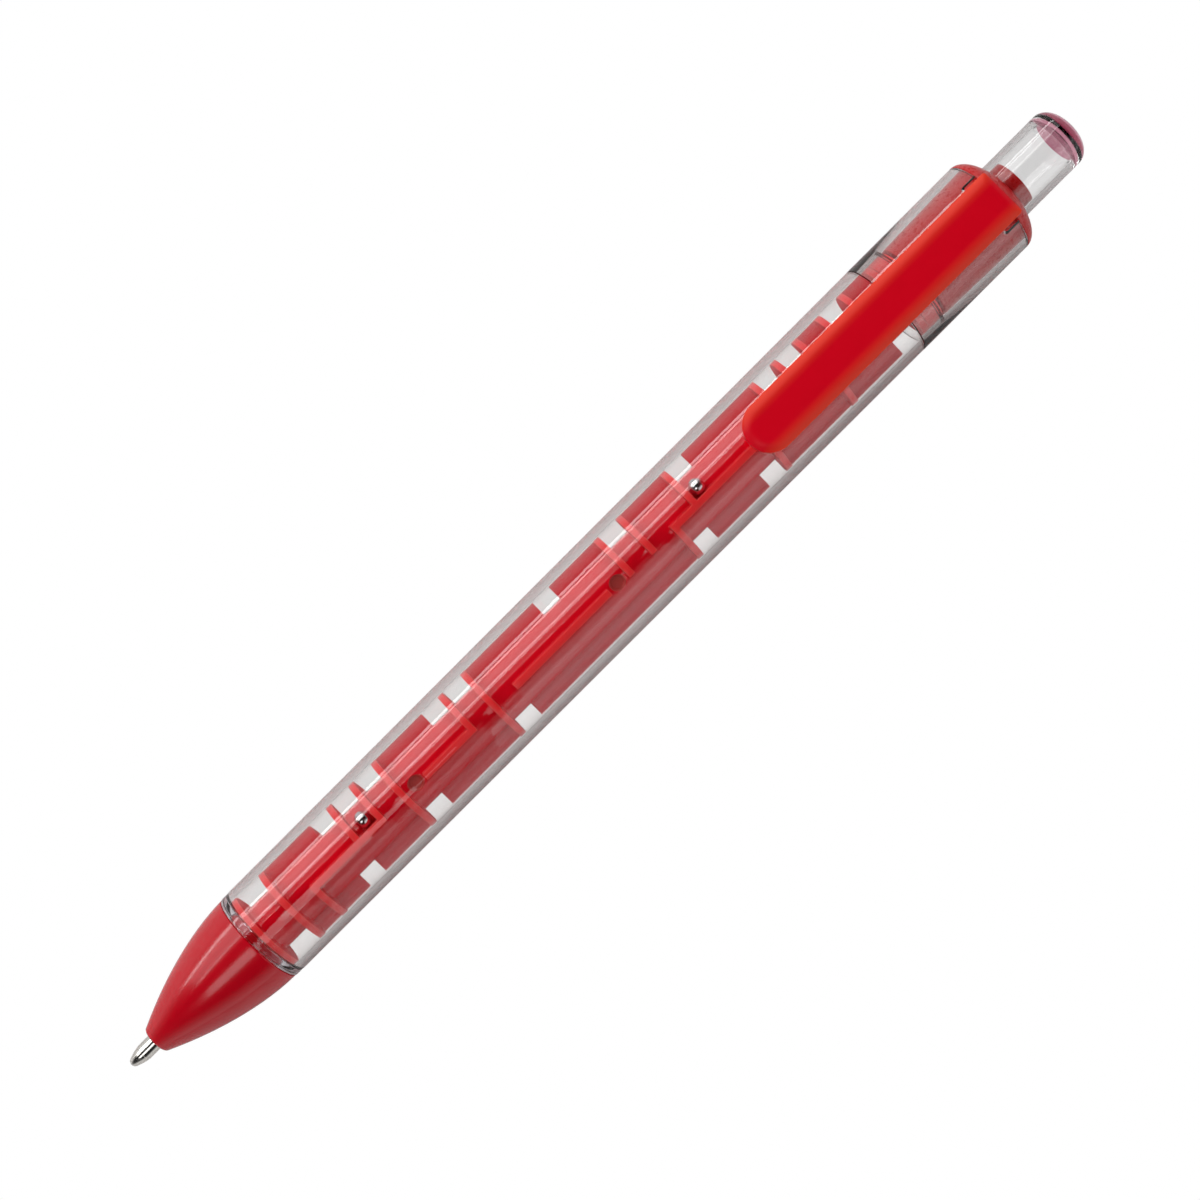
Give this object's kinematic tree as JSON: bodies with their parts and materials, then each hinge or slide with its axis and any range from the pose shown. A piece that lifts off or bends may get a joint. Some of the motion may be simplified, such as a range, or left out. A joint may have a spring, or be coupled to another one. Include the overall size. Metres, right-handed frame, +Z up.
{
  "type": "retractable maze pen",
  "caption": "Click ballpoint pen whose clear barrel shows a maze core where small steel balls roll between raised walls, with a spring clip and a clear push button.",
  "frame": {"origin": "centre of the bounding box's bottom face: the pen lies on its side with its lowest facet on Z = 0", "axes": "+X along the pen from the writing point to the push button, +Z up through the clip, +Y across the pen"},
  "size_m": [0.1456, 0.012, 0.0142],
  "materials": {
    "red_gloss": "glossy opaque red",
    "red_core": "smooth red, slightly translucent at thin edges",
    "clear_plastic": "clear and polished",
    "white_plastic": "plain off-white, inside the pen",
    "tube_plastic": "translucent white",
    "ink": "dark blue ink behind the tube's wall",
    "nickel_silver": "turned nickel silver",
    "steel": "polished steel",
    "spring_steel": "drawn spring wire"
  },
  "bodies": {
    "barrel": {"front_barrel": "clear_plastic", "rear_barrel": "clear_plastic", "cap": "red_gloss", "cam_sleeve": "white_plastic", "maze_core": "red_core", "core_bushing": "red_core", "return_spring": "spring_steel"},
    "nose_ring": {"spacer_ring": "clear_plastic"},
    "nose": {"nose_cone": "red_gloss"},
    "button": {"push_button": "clear_plastic", "plunger": "red_gloss"},
    "refill": {"refill_tip": "nickel_silver", "refill_tube": "tube_plastic", "ink_column": "ink"},
    "cam": {"cam_rotor": "white_plastic"},
    "point": {"writing_ball": "steel"},
    "clip": {"clip": "red_gloss"},
    "ball_a": {"maze_ball_a": "steel"},
    "ball_b": {"maze_ball_b": "steel"}
  },
  "joints": [
    {"name": "button_slide", "type": "slide", "parent": "barrel", "child": "button", "axis": [1, 0, 0], "range_m": [-0.001, 0.0044], "stiffness_N_per_m": 150},
    {"name": "refill_slide", "type": "slide", "parent": "barrel", "child": "refill", "axis": [1, 0, 0], "range_m": [-0.001, 0.0044], "deforming": ["return_spring"]},
    {"name": "cam_turn", "type": "hinge", "parent": "refill", "child": "cam", "pos_m": [0.0475, 0, 0.00599], "axis": [1, 0, 0], "range_deg": [-9.2, 39.8]},
    {"name": "writing_ball_roll", "type": "hinge", "parent": "refill", "child": "point", "pos_m": [-0.07245, 0, 0.00599], "axis": [0, 1, 0], "continuous": true},
    {"name": "nose_advance", "type": "slide", "parent": "barrel", "child": "nose_ring", "axis": [-1, 0, 0], "range_m": [0, 0.004]},
    {"name": "nose_turn", "type": "hinge", "parent": "nose_ring", "child": "nose", "pos_m": [-0.06, 0, 0.00599], "axis": [-1, 0, 0], "range_deg": [0, 1440.5]},
    {"name": "clip_flex", "type": "hinge", "parent": "barrel", "child": "clip", "pos_m": [0.05945, 0, 0.01119], "axis": [0, 1, 0], "range_deg": [0, 4], "stiffness_Nm_per_rad": 3},
    {"name": "ball_a_orbit", "type": "hinge", "parent": "barrel", "child": "ball_a", "pos_m": [-0.03514, 0, 0.00599], "axis": [-1, 0, 0], "range_deg": [-1.3, 139.5]},
    {"name": "ball_b_slide", "type": "slide", "parent": "barrel", "child": "ball_b", "axis": [1, 0, 0], "range_m": [-0.00015, 0.0108]}
  ],
  "couplings": [
    {"joint": "refill_slide", "follows": "button_slide", "ratio": 1},
    {"joint": "cam_turn", "follows": "button_slide", "rad_per_m": 157.08},
    {"joint": "nose_turn", "follows": "nose_advance", "rad_per_m": 6283.2}
  ]
}
